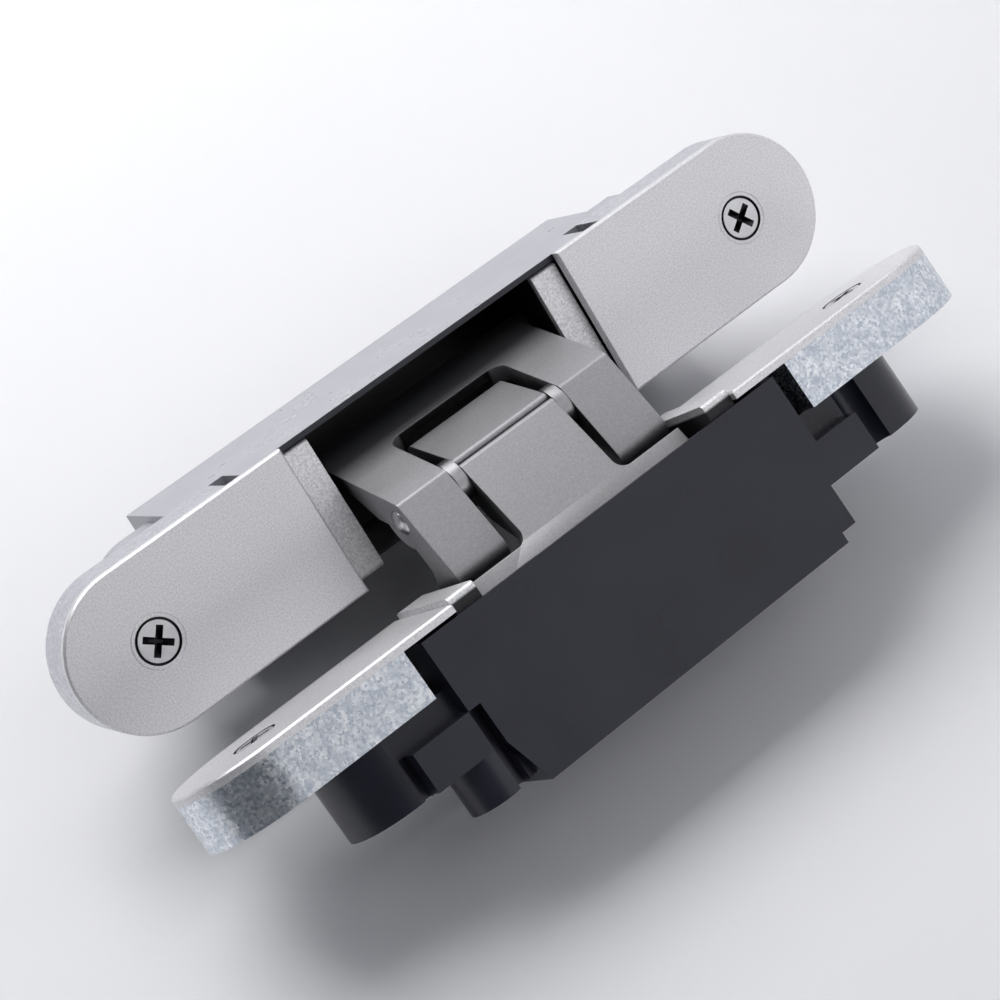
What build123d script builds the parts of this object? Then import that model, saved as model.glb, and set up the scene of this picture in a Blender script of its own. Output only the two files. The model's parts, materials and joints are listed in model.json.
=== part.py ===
from build123d import *
import os
from math import atan2, cos, degrees, radians, sin

# Concealed hinge in millimetres. Z runs along the hinge, the frame leaf's cover face lies at Y = 0
# with its material at Y > 0, and the door leaf stands open on the -X side.

# Leaf outline, shared by both leaves
LEAF_LENGTH = 160.0
LEAF_WIDTH = 28.0
COVER_THICKNESS = 1.5
COVER_SLIT = 0.14
COVER_EDGE_CHAMFER = 0.35
BLOCK_SLIT = 0.1
BLOCK_THICKNESS = 8.8

# Case: the black box between the end blocks, with a wing under each block; its arm side is cut low
CASE_SIDE_INSET = 0.1
CASE_RIM = 2.1
CASE_BOTTOM = 31.4
CASE_WALL = 1.0
CASE_FLOOR = 1.0
CASE_END_WALL = 1.44
LOW_CASE_TOP = 15.0
ARM_SIDE_SILL = 28.0
WING_GAP = 0.1
WING_BOTTOM = 22.5

# Door leaf's case: a low box with a foot, a round wing and a fluted wing
LOW_CASE_STEP = 2.3
CASE_FOOT_CHAMFER = 2.6
CASE_FOOT_HEIGHT = 9.0
CASE_HEEL_LENGTH = 3.1
CASE_HEEL_HEIGHT = 1.9
WING_RADIUS = 10.0
ROUND_WING_OFFSET = 1.0
FLUTED_WING_OFFSET = 2.9
PAD_TOP = 15.0
PAD_BOTTOM = 22.2
PAD_SLOT = 2.4
PAD_LENGTH = 11.2
SIDE_GROOVE_WIDTH = 1.4
SIDE_GROOVE_DEPTH = 1.2
FLUTE_RADIUS = 2.6
BOSS_RADIUS = 5.5
BOSS_OFFSET = 4.2
BOSS_BOTTOM = 29.5
BOSS_HOLE_RADIUS = 2.6
BOSS_JOIN_SETBACK = 3.0

# Frame leaf's case: a long box with a flat wing beyond each end
FRAME_BOX_SHORT_REACH = 11.2
FRAME_BOX_LONG_REACH = 14.2
FRAME_WING_HALF_WIDTH = 12.6
FRAME_WING_SQUARE_REACH = 5.0
FRAME_WING_ROUND_REACH = 14.2
FRAME_WING_CORNER_RADIUS = 9.0

# Carrier: two cheeks on a floor, which holds the arms inside the case
SIDE_PLAY = 1.91
CHEEK_THICKNESS = 5.3
CARRIER_SIDE_GAP = 0.3
CARRIER_DEPTH = 27.9
CARRIER_FLOOR = 1.6
CHEEK_EDGE_RADIUS = 0.8
EAR_TOP = 5.6
EAR_THICKNESS = 3.2
EAR_LENGTH = 6.0
EAR_WIDTH = 10.0
EAR_GAP = 0.3
FRAME_RECESS = 2.4
DOOR_PROUD = 0.9
SIDE_TRAVEL = 3.0
HEIGHT_TRAVEL = 3.0

# Linkage, seen along Z in the carrier's own frame
PIVOT_OFFSET = 10.0
PIVOT_DEPTH = 8.69
CLOSED_CENTRE_OFFSET = 8.0
CLOSED_FACE_GAP = 5.5
SWING_SHARE = 0.56
REST_OPENING = 81.0
FULL_OPENING = 180.0
GUIDE_REACH = 26.5
GUIDE_ANGLE = 71.6

# Arm sections, seen along Z
RIDGE_REACH = 4.4
RIDGE_RADIUS = 1.0
KNUCKLE_RADIUS = 5.2
HOME_LEG_THICKNESS = 6.0
TAIL_THICKNESS = 3.2
TAIL_RADIUS = 2.2
THICK_STRETCH = 9.5
TAPER_END = 15.5
LEG_THICKNESS = 7.4
BEND_DISTANCE = 14.4
INNER_BEND_DISTANCE = 12.4
BEND_RADIUS = 2.8
EYE_RADIUS = 3.5
FORK_HOME_ANGLE = 68.0
FORK_LEG_ANGLE = 65.3
TONGUE_HOME_ANGLE = 72.5
TONGUE_LEG_ANGLE = 62.6

# Arm widths along Z
ARM_HALF_WIDTH = 22.65
PRONG_INNER = 12.35
TONGUE_HALF_WIDTH = 10.05
WINDOW_EDGE = 17.8
WINDOW_CHAMFER = 2.6
CHAMFER_RUN_IN = 1.0
WINDOW_RADIUS = 2.6
SHOULDER_RADIUS = 2.2

# Pins, bushes and washers
CENTRE_PIN_RADIUS = 2.2
PIN_DOME = 0.9
PIVOT_PIN_RADIUS = 1.8
GUIDE_PIN_RADIUS = 1.2
ROLLER_RADIUS = 1.7
ROLLER_LENGTH = 3.0
GUIDE_CLEARANCE = 0.35
PIN_FIT = 0.05
END_PLAY = 0.08
WASHER_RADIUS = 4.1
SPACER_RADIUS = 2.9
PIVOT_PIN_INSET = 0.6

# Fasteners
COVER_SCREW_INSET = 15.8
COVER_SCREW_HEAD_RADIUS = 4.3
COVER_SCREW_SINK_GAP = 0.3
COVER_SCREW_SHANK_RADIUS = 2.0
COVER_SCREW_HEAD_DEPTH = 2.4
COVER_SCREW_LENGTH = 9.6
COVER_SCREW_FACE = 0.1
CROSS_WIDTH = 0.9
CROSS_LENGTH = 4.2
CROSS_DEPTH = 1.6
WOOD_SCREW_INSET = 9.0
WOOD_SCREW_SPREAD = 14.0
WOOD_SCREW_HOLE_RADIUS = 2.3
WOOD_SCREW_SINK_RADIUS = 4.4
CLAMP_OFFSET = 9.3
CLAMP_HEAD_RADIUS = 4.2
CLAMP_HEAD_HEIGHT = 3.0
CLAMP_SHANK_RADIUS = 2.4
CLAMP_SEAT = 5.5
CLAMP_SLOT_GAP = 0.3
CLAMP_LENGTH = 14.0
SOCKET_RADIUS = 1.9
SOCKET_DEPTH = 1.8
JACK_RADIUS = 2.5
JACK_OFFSET = 3.34
JACK_COVER_GAP = 0.3
JACK_FLOOR_GAP = 0.1

# Places that follow from the sizes above
HALF_LENGTH = LEAF_LENGTH / 2
HALF_WIDTH = LEAF_WIDTH / 2
CASE_HALF_WIDTH = HALF_WIDTH - CASE_SIDE_INSET
BLOCK_BOTTOM = COVER_THICKNESS + BLOCK_THICKNESS
WING_TOP = BLOCK_BOTTOM + WING_GAP
CAVITY_HALF_WIDTH = CASE_HALF_WIDTH - CASE_WALL
CARRIER_HALF_WIDTH = CAVITY_HALF_WIDTH - CARRIER_SIDE_GAP
CHEEK_INNER = ARM_HALF_WIDTH + SIDE_PLAY
CHEEK_OUTER = CHEEK_INNER + CHEEK_THICKNESS
CAVITY_HALF_LENGTH = CHEEK_OUTER + EAR_GAP
EAR_END = CHEEK_OUTER + EAR_LENGTH
CASE_HALF_LENGTH = EAR_END + EAR_GAP + CASE_END_WALL
LOW_HALF_LENGTH = CASE_HALF_LENGTH - LOW_CASE_STEP
COVER_START = CHEEK_OUTER + COVER_SLIT
BLOCK_START = CASE_HALF_LENGTH + HEIGHT_TRAVEL + BLOCK_SLIT
JACK_STATION = CHEEK_OUTER + JACK_OFFSET
CLAMP_STATION = BLOCK_START + CLAMP_OFFSET
ROUND_WING_CENTRE = CLAMP_STATION + ROUND_WING_OFFSET
FLUTED_WING_CENTRE = CLAMP_STATION + FLUTED_WING_OFFSET
BOSS_CENTRE = LOW_HALF_LENGTH + BOSS_OFFSET
COVER_SCREW_STATION = HALF_LENGTH - COVER_SCREW_INSET
WOOD_SCREW_STATION = HALF_LENGTH - WOOD_SCREW_INSET
JACK_FLOOR = EAR_TOP + EAR_THICKNESS + max(FRAME_RECESS, SIDE_TRAVEL - DOOR_PROUD) + EAR_GAP


def unit(angle):
    """Unit vector at an angle from +X, in degrees."""
    return (cos(radians(angle)), sin(radians(angle)))


def along(start, *moves):
    """Point reached from start by moves, each a (distance, direction) pair."""
    x = start[0] + sum(d * v[0] for d, v in moves)
    y = start[1] + sum(d * v[1] for d, v in moves)
    return (x, y)


def clockwise(vector, angle):
    """The vector turned clockwise, seen from +Z."""
    c = cos(radians(angle))
    s = sin(radians(angle))
    return (vector[0] * c + vector[1] * s, -vector[0] * s + vector[1] * c)


def minus(a, b):
    """Difference of two points."""
    return (a[0] - b[0], a[1] - b[1])


# Linkage places in the frame carrier's frame, whose face is Y = 0
PIVOT = (-PIVOT_OFFSET, PIVOT_DEPTH)
CLOSED_CENTRE = (CLOSED_CENTRE_OFFSET, -CLOSED_FACE_GAP / 2)


def centre_at(opening):
    """Centre pin's place at an opening angle."""
    arm = clockwise(minus(CLOSED_CENTRE, PIVOT), SWING_SHARE * opening)
    return (PIVOT[0] + arm[0], PIVOT[1] + arm[1])


CENTRE = centre_at(REST_OPENING)
OUTWARD = unit(-REST_OPENING / 2)
ACROSS = (-OUTWARD[1], OUTWARD[0])
FACE_SPACING = -2 * (CENTRE[0] * ACROSS[0] + CENTRE[1] * ACROSS[1])
DOOR_CARRIER_ORIGIN = (-FACE_SPACING * ACROSS[0], -FACE_SPACING * ACROSS[1])
LEAF_TURN = 180 - REST_OPENING


def arm_vector(outward, across, home_sign):
    """Vector from arm coordinates: outward along the bisector, across towards the arm's home leaf."""
    x = outward * OUTWARD[0] + across * home_sign * ACROSS[0]
    y = outward * OUTWARD[1] + across * home_sign * ACROSS[1]
    return (x, y)


def guide_place(opening):
    """Guide pin's place in the frame carrier at an opening angle."""
    back = unit(180 - GUIDE_ANGLE)
    at_rest = arm_vector(GUIDE_REACH * back[0], GUIDE_REACH * back[1], 1)
    turned = clockwise(at_rest, (1 - SWING_SHARE) * (opening - REST_OPENING))
    centre = centre_at(opening)
    return (centre[0] + turned[0], centre[1] + turned[1])


# Placements of the two leaves and their carriers
FRAME_LEAF = Location((0, 0, 0))
FRAME_CARRIER = Location((0, FRAME_RECESS, 0))
DOOR_CARRIER = (
    Location((DOOR_CARRIER_ORIGIN[0], DOOR_CARRIER_ORIGIN[1] + FRAME_RECESS, 0), (0, 0, LEAF_TURN))
    * Location((0, 0, 0), (0, 180, 0))
)
DOOR_LEAF = DOOR_CARRIER * Location((0, DOOR_PROUD, 0))


def box(x0, x1, y0, y1, z0, z1):
    """Box between two corners."""
    size = Box(x1 - x0, y1 - y0, z1 - z0)
    return Location(((x0 + x1) / 2, (y0 + y1) / 2, (z0 + z1) / 2)) * size


def rod(x, y, radius, z0, z1):
    """Round bar along Z."""
    return Location((x, y, (z0 + z1) / 2)) * Cylinder(radius, z1 - z0)


def post(x, z, radius, y0, y1, tip=None):
    """Round bar along Y; with a tip radius it is a cone."""
    place = Location((x, (y0 + y1) / 2, z), (-90, 0, 0))
    if tip is None:
        return place * Cylinder(radius, y1 - y0)
    return place * Cone(radius, tip, y1 - y0)


def slot_post(z, half_width, travel, y0, y1):
    """Long hole along Z, cut through from y0 to y1."""
    body = box(-half_width, half_width, y0, y1, z - travel, z + travel)
    ends = [post(0, z + side * travel, half_width, y0, y1) for side in (-1, 1)]
    return body + ends


def end_outline(z0, z1, y0, y1, side):
    """Straight bar with a full round end, at one end of the leaf."""
    centre = HALF_LENGTH - HALF_WIDTH
    bar = box(-HALF_WIDTH, HALF_WIDTH, y0, y1, z0, centre)
    nose = post(0, centre, HALF_WIDTH, y0, y1) & box(-HALF_WIDTH, HALF_WIDTH, y0, y1, z0, z1)
    return Location((0, 0, 0), (0, 0 if side > 0 else 180, 0)) * (bar + nose)


def cover(side):
    """Cover plate with a countersunk screw hole and a broken face edge."""
    plate = end_outline(COVER_START, HALF_LENGTH, 0, COVER_THICKNESS, side)
    face = plate.faces().sort_by(Axis.Y)[0]
    plate = chamfer(face.edges(), COVER_EDGE_CHAMFER)
    return plate - cover_screw_sink(side)


def cover_screw_sink(side):
    """Countersink and clearance hole of a cover screw."""
    z = side * COVER_SCREW_STATION
    gap = COVER_SCREW_SINK_GAP
    head_end = COVER_SCREW_FACE + COVER_SCREW_HEAD_DEPTH
    wide = COVER_SCREW_HEAD_RADIUS + gap
    lip = post(0, z, wide, -1, COVER_SCREW_FACE + gap)
    cone = post(0, z, wide, COVER_SCREW_FACE + gap, head_end + gap, COVER_SCREW_SHANK_RADIUS + PIN_FIT)
    return lip + cone


def end_block(side):
    """Plated end block with the cover screw, clamp screw and wood screw holes."""
    block = end_outline(BLOCK_START, HALF_LENGTH, COVER_THICKNESS, BLOCK_BOTTOM, side)
    block -= cover_screw_sink(side)
    cover_hole = COVER_SCREW_SHANK_RADIUS + PIN_FIT
    block -= post(0, side * COVER_SCREW_STATION, cover_hole, 0, BLOCK_BOTTOM + 1)
    clamp_z = side * CLAMP_STATION
    travel = HEIGHT_TRAVEL + PIN_FIT
    block -= slot_post(clamp_z, CLAMP_SHANK_RADIUS + CLAMP_SLOT_GAP, travel, 0, BLOCK_BOTTOM + 1)
    block -= slot_post(clamp_z, CLAMP_HEAD_RADIUS + CLAMP_SLOT_GAP, travel, 0, CLAMP_SEAT)
    for x in (-WOOD_SCREW_SPREAD / 2, WOOD_SCREW_SPREAD / 2):
        z = side * WOOD_SCREW_STATION
        sink_end = COVER_THICKNESS + WOOD_SCREW_SINK_RADIUS - WOOD_SCREW_HOLE_RADIUS
        block -= post(x, z, WOOD_SCREW_HOLE_RADIUS, 0, BLOCK_BOTTOM + 1)
        block -= post(x, z, WOOD_SCREW_SINK_RADIUS, COVER_THICKNESS, sink_end, WOOD_SCREW_HOLE_RADIUS)
    return block


def cover_screw(side):
    """Countersunk cross-head screw that holds a cover to its block."""
    z = side * COVER_SCREW_STATION
    head_end = COVER_SCREW_FACE + COVER_SCREW_HEAD_DEPTH
    shank = COVER_SCREW_SHANK_RADIUS
    lip_end = COVER_SCREW_FACE + COVER_SCREW_SINK_GAP
    lip = post(0, z, COVER_SCREW_HEAD_RADIUS, COVER_SCREW_FACE, lip_end)
    head = post(0, z, COVER_SCREW_HEAD_RADIUS, lip_end, head_end, shank)
    screw = lip + head + post(0, z, shank, head_end, COVER_SCREW_LENGTH)
    half = CROSS_LENGTH / 2
    bottom = COVER_SCREW_FACE + CROSS_DEPTH
    screw -= box(-half, half, 0, bottom, z - CROSS_WIDTH / 2, z + CROSS_WIDTH / 2)
    screw -= box(-CROSS_WIDTH / 2, CROSS_WIDTH / 2, 0, bottom, z - half, z + half)
    return screw


def clamp_screw(side):
    """Socket-head screw that clamps the case's wing under the block."""
    z = side * CLAMP_STATION
    head_top = CLAMP_SEAT - CLAMP_HEAD_HEIGHT
    head = post(0, z, CLAMP_HEAD_RADIUS, head_top, CLAMP_SEAT)
    shank = post(0, z, CLAMP_SHANK_RADIUS, CLAMP_SEAT, CLAMP_SEAT + CLAMP_LENGTH)
    socket = extrude(Plane((0, head_top, z), z_dir=(0, 1, 0)) * RegularPolygon(SOCKET_RADIUS, 6), SOCKET_DEPTH)
    return head + shank - socket


def jack_screw(side):
    """Screw that moves the carrier in and out of the case, held between cover and case."""
    z = side * JACK_STATION
    top = COVER_THICKNESS + JACK_COVER_GAP
    shaft = post(0, z, JACK_RADIUS, top, JACK_FLOOR - JACK_FLOOR_GAP)
    socket = extrude(Plane((0, top, z), z_dir=(0, 1, 0)) * RegularPolygon(SOCKET_RADIUS, 6), SOCKET_DEPTH)
    return shaft - socket


def wing(side, centre):
    """Wing under one end block: a bar with a round end and a screw hole."""
    reach = box(-WING_RADIUS, WING_RADIUS, WING_TOP, WING_BOTTOM, 0, centre)
    body = reach + post(0, centre, WING_RADIUS, WING_TOP, WING_BOTTOM)
    return Location((0, 0, 0), (0, 0 if side > 0 else 180, 0)) * body


def pads(side, start):
    """Flat pads that widen a wing to the case's width."""
    z0 = start
    z1 = start + PAD_LENGTH
    body = box(-CASE_HALF_WIDTH, CASE_HALF_WIDTH, PAD_TOP, PAD_BOTTOM, z0, z1)
    return Location((0, 0, 0), (0, 0 if side > 0 else 180, 0)) * body


def case(leaf):
    """Black case: an open box on the leaf's own foot, with a threaded wing under each block."""
    body = box(-CASE_HALF_WIDTH, CASE_HALF_WIDTH, CASE_RIM, LOW_CASE_TOP, -CASE_HALF_LENGTH, CASE_HALF_LENGTH)
    body += frame_foot() if leaf == "frame" else door_foot()
    body -= cavity()
    for side in (-1, 1):
        body -= jack_pocket(side)
        thread = CLAMP_SHANK_RADIUS + PIN_FIT
        body -= post(0, side * CLAMP_STATION, thread, WING_TOP - 1, WING_BOTTOM + 1)
    return body


def frame_foot():
    """Lower part of the frame leaf's case: a long box with a flat wing beyond each end."""
    start = -LOW_HALF_LENGTH - FRAME_BOX_SHORT_REACH
    end = LOW_HALF_LENGTH + FRAME_BOX_LONG_REACH
    long_box = box(-CASE_HALF_WIDTH, CASE_HALF_WIDTH, WING_TOP, CASE_BOTTOM, start, end)
    half = FRAME_WING_HALF_WIDTH
    wing_start = -CLAMP_STATION - FRAME_WING_SQUARE_REACH
    wing_end = CLAMP_STATION + FRAME_WING_ROUND_REACH
    wings = box(-half, half, WING_TOP, WING_BOTTOM, wing_start, wing_end)
    corners = wings.edges().filter_by(Axis.Y).group_by(Axis.Z)[-1]
    return long_box + fillet(corners, FRAME_WING_CORNER_RADIUS)


def door_foot():
    """Lower part of the door leaf's case: a box with two wings, pads, a screw boss and flutes."""
    low = box(-CASE_HALF_WIDTH, CASE_HALF_WIDTH, LOW_CASE_TOP, CASE_BOTTOM, -LOW_HALF_LENGTH, LOW_HALF_LENGTH)
    low -= foot_cut()
    low -= heel_cut()
    body = low + wing(-1, ROUND_WING_CENTRE) + wing(1, FLUTED_WING_CENTRE)
    body += pads(-1, LOW_HALF_LENGTH + PAD_SLOT)
    body += pads(1, LOW_HALF_LENGTH)
    body += screw_boss()
    body -= pad_slot()
    body -= side_groove()
    body -= flute()
    return body


def heel_cut():
    """Step at the foot of the case, at its fluted-wing end."""
    z0 = LOW_HALF_LENGTH - CASE_HEEL_LENGTH
    y0 = CASE_BOTTOM - CASE_HEEL_HEIGHT
    return box(-HALF_WIDTH, HALF_WIDTH, y0, CASE_BOTTOM + 1, z0, LOW_HALF_LENGTH + 1)


def side_groove():
    """Narrow upright groove in the round wing, beside its outer pad."""
    z1 = -LOW_HALF_LENGTH - PAD_SLOT - PAD_LENGTH
    x0 = WING_RADIUS - SIDE_GROOVE_DEPTH
    return box(x0, WING_RADIUS + 1, PAD_TOP, WING_BOTTOM + 1, z1 - SIDE_GROOVE_WIDTH, z1)


def foot_cut():
    """Sloped corner at the foot of the case, at its round-wing end."""
    z0 = -LOW_HALF_LENGTH
    profile = Polygon(
        (z0 - 1, CASE_BOTTOM + 1),
        (z0 - 1, CASE_BOTTOM - CASE_FOOT_HEIGHT),
        (z0, CASE_BOTTOM - CASE_FOOT_HEIGHT),
        (z0 + CASE_FOOT_CHAMFER, CASE_BOTTOM),
        (z0 + CASE_FOOT_CHAMFER, CASE_BOTTOM + 1),
        align=None,
    )
    plane = Plane(origin=(0, 0, 0), x_dir=(0, 0, 1), z_dir=(-1, 0, 0))
    return extrude(plane * profile, LEAF_WIDTH, both=True)


def screw_boss():
    """Half-round boss below the round wing, on the arm-free side of the case."""
    x = CASE_HALF_WIDTH - BOSS_RADIUS
    boss = post(x, -BOSS_CENTRE, BOSS_RADIUS, PAD_BOTTOM - 1, BOSS_BOTTOM)
    join_x = CASE_HALF_WIDTH - BOSS_JOIN_SETBACK
    join_end = CASE_FOOT_CHAMFER - LOW_HALF_LENGTH
    boss += box(x - BOSS_RADIUS, join_x, PAD_BOTTOM - 1, BOSS_BOTTOM, -BOSS_CENTRE, join_end)
    return boss - post(x, -BOSS_CENTRE, BOSS_HOLE_RADIUS, BOSS_BOTTOM - 4, BOSS_BOTTOM + 1)


def pad_slot():
    """Deep slot between the low case and the pads of the round wing."""
    z0 = -LOW_HALF_LENGTH - PAD_SLOT
    return box(-HALF_WIDTH, HALF_WIDTH, PAD_TOP, CASE_BOTTOM, z0, -LOW_HALF_LENGTH) - box(
        -WING_RADIUS, WING_RADIUS, PAD_TOP - 1, CASE_BOTTOM + 1, z0 - 1, -LOW_HALF_LENGTH + 1
    )


def flute():
    """Upright flutes in both pads of the fluted wing."""
    z = LOW_HALF_LENGTH + PAD_LENGTH + FLUTE_RADIUS
    return [post(x, z, FLUTE_RADIUS, WING_TOP - 1, WING_BOTTOM + 1) for x in (-WING_RADIUS, WING_RADIUS)]


def cavity():
    """Space for the carrier, with the wall cut low on the side that the arms swing over."""
    inside = box(
        -CAVITY_HALF_WIDTH,
        CAVITY_HALF_WIDTH,
        CASE_RIM - 1,
        CASE_BOTTOM - CASE_FLOOR,
        -CAVITY_HALF_LENGTH,
        CAVITY_HALF_LENGTH,
    )
    half = CAVITY_HALF_LENGTH
    gate = box(-CASE_HALF_WIDTH - 1, -CAVITY_HALF_WIDTH + 1, CASE_RIM - 1, ARM_SIDE_SILL, -half, half)
    return inside + gate


def jack_pocket(side):
    """Pocket in the case's end wall for the carrier's ear and its jack screw."""
    half = EAR_WIDTH / 2 + EAR_GAP
    z0 = CAVITY_HALF_LENGTH - 1
    z1 = EAR_END + EAR_GAP
    low, high = sorted((side * z0, side * z1))
    return box(-half, half, CASE_RIM - 1, JACK_FLOOR, low, high)


def guide_slot():
    """Curved slot that the guide roller follows, open towards the arms."""
    first = guide_place(0)
    middle = guide_place(FULL_OPENING / 2)
    last = guide_place(FULL_OPENING)
    path = ThreePointArc(first, middle, last)
    centre = path.arc_center
    half = ROLLER_RADIUS + GUIDE_CLEARANCE
    reach = ROLLER_LENGTH + 2 * END_PLAY
    ring = Location((centre.X, centre.Y)) * (Circle(path.radius + half) - Circle(path.radius - half))
    a0 = degrees(atan2(last[1] - centre.Y, last[0] - centre.X))
    a1 = degrees(atan2(first[1] - centre.Y, first[0] - centre.X))
    far = 3 * path.radius
    rays = [along((centre.X, centre.Y), (far, unit(a))) for a in (a0, (a0 + a1) / 2, a1)]
    wedge = Polygon((centre.X, centre.Y), *rays, align=None)
    ends = [Location(point) * Circle(half) for point in (first, last)]
    outline = (ring & wedge) + ends
    upper = Location((0, 0, CHEEK_INNER - 1)) * extrude(outline, reach + 1)
    lower = Location((0, 0, -CHEEK_INNER - reach)) * extrude(outline, reach + 1)
    return upper + lower


def carrier():
    """Carrier: two cheeks joined by a floor, with pivot holes, guide slots and ears."""
    half = CARRIER_HALF_WIDTH
    floor_top = CARRIER_DEPTH - CARRIER_FLOOR
    body = box(-half, half, floor_top, CARRIER_DEPTH, -CHEEK_OUTER, CHEEK_OUTER)
    for side in (-1, 1):
        low, high = sorted((side * CHEEK_INNER, side * CHEEK_OUTER))
        cheek = box(-half, half, 0, CARRIER_DEPTH, low, high)
        top = cheek.faces().sort_by(Axis.Y)[0]
        body += fillet(top.edges().filter_by(Axis.Z), CHEEK_EDGE_RADIUS)
        low, high = sorted((side * (CHEEK_OUTER - 1), side * EAR_END))
        ear = box(-EAR_WIDTH / 2, EAR_WIDTH / 2, EAR_TOP, EAR_TOP + EAR_THICKNESS, low, high)
        body += ear
    for side in (-1, 1):
        body -= post(0, side * JACK_STATION, JACK_RADIUS + PIN_FIT, EAR_TOP - 1, EAR_TOP + EAR_THICKNESS + 1)
    body -= rod(PIVOT[0], PIVOT[1], PIVOT_PIN_RADIUS + PIN_FIT, -CHEEK_OUTER - 1, CHEEK_OUTER + 1)
    return body - guide_slot()


class Arm:
    """Section of one cranked arm, seen along Z, with its home leg towards the leaf named by the sign."""

    def __init__(self, home_sign, home_angle, leg_angle):
        """Work out the directions along and into the arm's two legs."""
        self.sign = home_sign
        self.ridge = self.point(RIDGE_REACH, 0)
        self.home = self.direction(180 - home_angle)
        self.home_in = self.direction(270 - home_angle)
        self.leg = self.direction(180 + leg_angle)
        self.leg_in = self.direction(90 + leg_angle)

    def direction(self, angle):
        """Direction at an angle from the outward bisector, towards the home leaf."""
        step = unit(angle)
        return arm_vector(step[0], step[1], self.sign)

    def point(self, outward, across):
        """Place in the frame carrier's frame from arm coordinates."""
        step = arm_vector(outward, across, self.sign)
        return (CENTRE[0] + step[0], CENTRE[1] + step[1])

    def guide(self):
        """Guide pin's place at the end of the home leg."""
        back = unit(180 - GUIDE_ANGLE)
        return self.point(GUIDE_REACH * back[0], GUIDE_REACH * back[1])

    def eye(self):
        """Pivot pin's place at the end of the other leg, the mirror image of the partner arm's."""
        offset = minus(PIVOT, CENTRE)
        outward = offset[0] * OUTWARD[0] + offset[1] * OUTWARD[1]
        across = offset[0] * ACROSS[0] + offset[1] * ACROSS[1]
        return self.point(outward, -abs(across))

    def home_plate(self):
        """Straight home leg: thick near the knuckle, thin at its tail, which ends round the guide pin."""
        start = self.ridge
        tail = self.tail_length()
        outline = Polygon(
            start,
            along(start, (tail, self.home)),
            along(start, (tail, self.home), (TAIL_THICKNESS, self.home_in)),
            along(start, (TAPER_END, self.home), (TAIL_THICKNESS, self.home_in)),
            along(start, (THICK_STRETCH, self.home), (HOME_LEG_THICKNESS, self.home_in)),
            along(start, (2 * RIDGE_RADIUS, self.home), (HOME_LEG_THICKNESS, self.home_in)),
            align=None,
        )
        end = Location(self.guide()) * Circle(TAIL_RADIUS)
        neck = Polygon(
            along(start, (tail - TAIL_THICKNESS, self.home)),
            along(start, (tail, self.home)),
            along(start, (tail - TAIL_THICKNESS, self.home), (TAIL_THICKNESS, self.home_in)),
            align=None,
        )
        return outline + make_hull(end.edges() + neck.edges())

    def tail_length(self):
        """Length of the straight outer face of the home leg, from the ridge."""
        offset = minus(self.guide(), self.ridge)
        return offset[0] * self.home[0] + offset[1] * self.home[1] - TAIL_RADIUS / 2

    def cranked_leg(self):
        """Leg that bends inwards to the pivot eye."""
        start = self.ridge
        bend = along(start, (BEND_DISTANCE, self.leg), (BEND_RADIUS, self.leg_in))
        inner = along(start, (INNER_BEND_DISTANCE, self.leg), (LEG_THICKNESS - BEND_RADIUS, self.leg_in))
        outer_round = Location(bend) * Circle(BEND_RADIUS)
        inner_round = Location(inner) * Circle(BEND_RADIUS)
        eye = Location(self.eye()) * Circle(EYE_RADIUS)
        root = Polygon(
            start,
            along(start, (2 * RIDGE_RADIUS, self.leg), (LEG_THICKNESS * 0.8, self.leg_in)),
            along(start, (BEND_DISTANCE - BEND_RADIUS, self.leg)),
            align=None,
        )
        facet = make_hull(outer_round.edges() + inner_round.edges() + root.edges())
        neck = make_hull(outer_round.edges() + inner_round.edges() + eye.edges())
        return facet + neck

    def section(self):
        """Whole section, with its ridge rounded."""
        reach = 2 * GUIDE_REACH
        outer_faces = Polygon(
            self.ridge,
            along(self.ridge, (reach, self.home)),
            along(self.ridge, (reach, self.leg)),
            align=None,
        )
        knuckle = (Location(CENTRE) * Circle(KNUCKLE_RADIUS)) & outer_faces
        face = self.home_plate() + self.cranked_leg() + knuckle
        ridge = face.vertices().sort_by_distance(Vector(*self.ridge))[0]
        return fillet(ridge, RIDGE_RADIUS)

    def home_plane(self, along_home):
        """Plane on the outer face of the home leg, its X along the leg and its normal inwards."""
        origin = along(self.ridge, (along_home, self.home))
        return Plane(
            origin=(origin[0], origin[1], 0),
            x_dir=(self.home[0], self.home[1], 0),
            z_dir=(self.home_in[0], self.home_in[1], 0),
        )

    def clearing(self, z0, z1, corner_radius):
        """Cutter that clears the partner arm's width, up to a straight edge across the home leg."""
        reach = 2 * WINDOW_EDGE
        depth = 60.0
        plane = self.home_plane(WINDOW_EDGE)
        sketch = Location((-reach / 2, 0)) * Rectangle(reach, z1 - z0)
        corners = sketch.vertices().sort_by(Axis.X)[-2:]
        sketch = fillet(corners, corner_radius)
        middle = (z0 + z1) / 2
        shift = Location((0, 0, middle))
        straight = shift * extrude(plane * sketch, depth)
        straight += shift * extrude(plane * sketch, -depth / 4)
        slope = Polygon(
            (0, 0),
            (WINDOW_CHAMFER, TAIL_THICKNESS),
            (WINDOW_CHAMFER, 2 * TAIL_THICKNESS),
            (0, 2 * TAIL_THICKNESS),
            align=None,
        )
        edge = along(self.ridge, (WINDOW_EDGE, self.home))
        side = Plane(
            origin=(edge[0], edge[1], middle),
            x_dir=(self.home[0], self.home[1], 0),
            z_dir=Vector(self.home[0], self.home[1], 0).cross(Vector(self.home_in[0], self.home_in[1], 0)),
        )
        half = (z1 - z0) / 2 - corner_radius + CHAMFER_RUN_IN
        return straight + extrude(side * slope, half, both=True)


FORK = Arm(1, FORK_HOME_ANGLE, FORK_LEG_ANGLE)
TONGUE = Arm(-1, TONGUE_HOME_ANGLE, TONGUE_LEG_ANGLE)


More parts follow.
